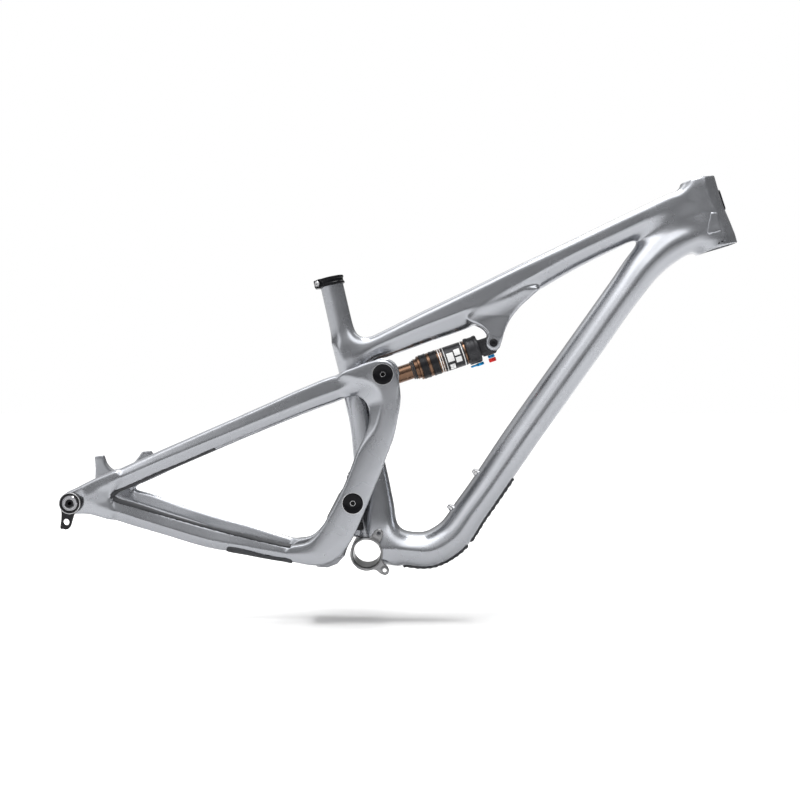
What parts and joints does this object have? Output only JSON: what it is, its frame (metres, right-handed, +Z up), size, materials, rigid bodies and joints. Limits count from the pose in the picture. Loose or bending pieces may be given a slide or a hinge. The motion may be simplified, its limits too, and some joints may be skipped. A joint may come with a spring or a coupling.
{
  "type": "full suspension bicycle frame",
  "caption": "Full-suspension mountain bike frame in grey carbon: front triangle, swingarm on an upper link and a sliding lower pivot, and a short air shock.",
  "frame": {"origin": "middle of the bottom bracket bore", "axes": "+X forward, +Y to the rider's left, +Z up, with the frame at riding attitude"},
  "size_m": [0.9608, 0.1855, 0.6495],
  "materials": {
    "frame_paint": "satin metallic silver-grey paint over moulded carbon",
    "bare_alloy": "machined",
    "rubber": "matte moulded rubber",
    "black_anodised": "black anodised",
    "steel": "machined steel",
    "gold_coat": "gold-brown hard coating",
    "bushing_plastic": "plain bearing plastic",
    "blue_anodised": "blue anodised",
    "red_anodised": "red anodised"
  },
  "bodies": {
    "front_triangle": {"head_tube": "frame_paint", "top_tube": "frame_paint", "shock_mount": "frame_paint", "down_tube": "frame_paint", "seat_tube": "frame_paint", "bottom_bracket_shell": "bare_alloy", "head_badge": "black_anodised", "cable_port_covers": "rubber", "down_tube_guard_upper": "rubber", "down_tube_guard_lower": "rubber", "bottle_bolts": "steel", "seat_clamp": "black_anodised", "seat_clamp_bolt": "steel", "slider_rails": "gold_coat", "rail_mounts": "black_anodised", "rail_mount_bolts": "steel", "link_pivot_axle": "black_anodised", "shock_mount_bolts": "black_anodised"},
    "upper_link": {"upper_link": "frame_paint", "link_bearings": "steel", "shock_rear_pin": "steel", "upper_pivot_bolts": "black_anodised"},
    "swingarm": {"left_upright": "frame_paint", "right_upright": "frame_paint", "left_seatstay": "frame_paint", "right_seatstay": "frame_paint", "left_chainstay": "frame_paint", "right_chainstay": "frame_paint", "left_dropout": "frame_paint", "right_dropout": "frame_paint", "swingarm_bridge": "frame_paint", "lower_yoke": "frame_paint", "brake_post_mount": "frame_paint", "derailleur_hanger": "black_anodised", "hanger_bolt": "steel", "rear_axle": "steel", "upper_pivot_bearings": "steel", "lower_pivot_bearings": "steel", "chainstay_guard": "rubber", "seatstay_guard": "rubber", "chain_slap_guard": "rubber"},
    "slider_carriage": {"slider_carriage": "black_anodised", "carriage_bushings": "bushing_plastic", "lower_pivot_bolts": "black_anodised"},
    "shock_body": {"shock_air_can": "gold_coat", "can_bands": "black_anodised", "wiper_seal": "rubber", "sag_ring": "rubber", "shock_head": "black_anodised", "shock_front_bushing": "steel", "air_valve_cap": "black_anodised"},
    "shock_shaft": {"shock_shaft": "gold_coat", "shock_eyelet": "steel"},
    "compression_lever": {"compression_lever": "blue_anodised"},
    "low_speed_knob": {"low_speed_knob": "blue_anodised"},
    "rebound_knob": {"rebound_knob": "red_anodised"}
  },
  "joints": [
    {"name": "link_pivot", "type": "hinge", "parent": "front_triangle", "child": "upper_link", "pos_m": [0.002, 0, 0.16], "axis": [0, 1, 0], "range_deg": [0, 27], "stiffness_Nm_per_rad": 60, "springref_deg": -2.86},
    {"name": "swingarm_pivot", "type": "hinge", "parent": "upper_link", "child": "swingarm", "pos_m": [-0.004, 0, 0.268], "axis": [0, 1, 0], "range_deg": [-11.8, 0]},
    {"name": "slider_pivot", "type": "hinge", "parent": "swingarm", "child": "slider_carriage", "pos_m": [-0.028, 0, 0.074], "axis": [0, 1, 0], "range_deg": [-15.3, 0]},
    {"name": "shock_front_pivot", "type": "hinge", "parent": "front_triangle", "child": "shock_body", "pos_m": [0.156, 0, 0.333], "axis": [0, -1, 0], "range_deg": [0, 8.1]},
    {"name": "shock_stroke", "type": "slide", "parent": "shock_body", "child": "shock_shaft", "axis": [0.9092, 0, 0.4163], "range_m": [0, 0.0388]},
    {"name": "compression_lever_turn", "type": "hinge", "parent": "shock_body", "child": "compression_lever", "pos_m": [0.14061, 0, 0.30176], "axis": [0.4163, 0, -0.9092], "range_deg": [0, 60]},
    {"name": "low_speed_knob_turn", "type": "hinge", "parent": "shock_body", "child": "low_speed_knob", "pos_m": [0.15539, 0, 0.31512], "axis": [0.4163, 0, -0.9092], "range_deg": [0, 330]},
    {"name": "rebound_knob_turn", "type": "hinge", "parent": "shock_body", "child": "rebound_knob", "pos_m": [0.15747, 0, 0.31058], "axis": [0.4163, 0, -0.9092], "range_deg": [0, 330]}
  ],
  "couplings": [
    {"joint": "swingarm_pivot", "follows": "link_pivot", "ratio": -0.434},
    {"joint": "slider_pivot", "follows": "link_pivot", "ratio": -0.566},
    {"joint": "shock_front_pivot", "follows": "link_pivot", "ratio": 0.2975},
    {"joint": "shock_stroke", "follows": "link_pivot", "m_per_rad": 0.08225}
  ]
}
